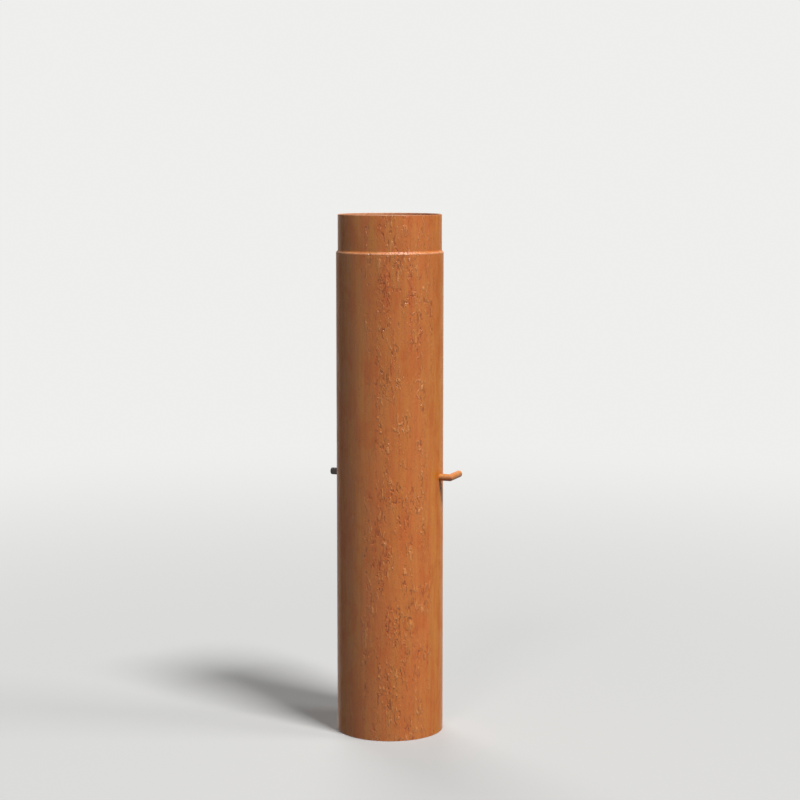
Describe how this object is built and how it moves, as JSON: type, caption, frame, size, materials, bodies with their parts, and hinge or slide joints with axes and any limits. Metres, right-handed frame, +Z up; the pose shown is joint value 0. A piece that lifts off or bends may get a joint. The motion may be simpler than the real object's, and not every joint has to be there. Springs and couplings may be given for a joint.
{
  "type": "stove pipe with damper",
  "caption": "Straight weathering-steel flue pipe with a swaged spigot at the top and a throttle damper turned by a mitred bar handle.",
  "frame": {"origin": "centre of the pipe's lower rim, on the floor that it stands on", "axes": "+Z up the pipe to the spigot, +X along the damper rod to its handle"},
  "size_m": [0.1892, 0.1538, 0.75],
  "materials": {
    "pipe_steel": "uncoated weathering steel with a tight orange-brown rust patina, satin",
    "rod_steel": "round steel bar with the same rust patina",
    "plate_steel": "dark mill scale with light rust",
    "screw_steel": "dull plain steel"
  },
  "bodies": {
    "pipe_body": {"pipe": "pipe_steel"},
    "damper": {"damper_rod": "rod_steel", "damper_plate": "plate_steel", "plate_screw_left": "screw_steel", "plate_screw_right": "screw_steel"}
  },
  "joints": [
    {"name": "damper_turn", "type": "hinge", "parent": "pipe_body", "child": "damper", "pos_m": [0, 0, 0.375], "axis": [1, 0, 0], "continuous": true}
  ]
}
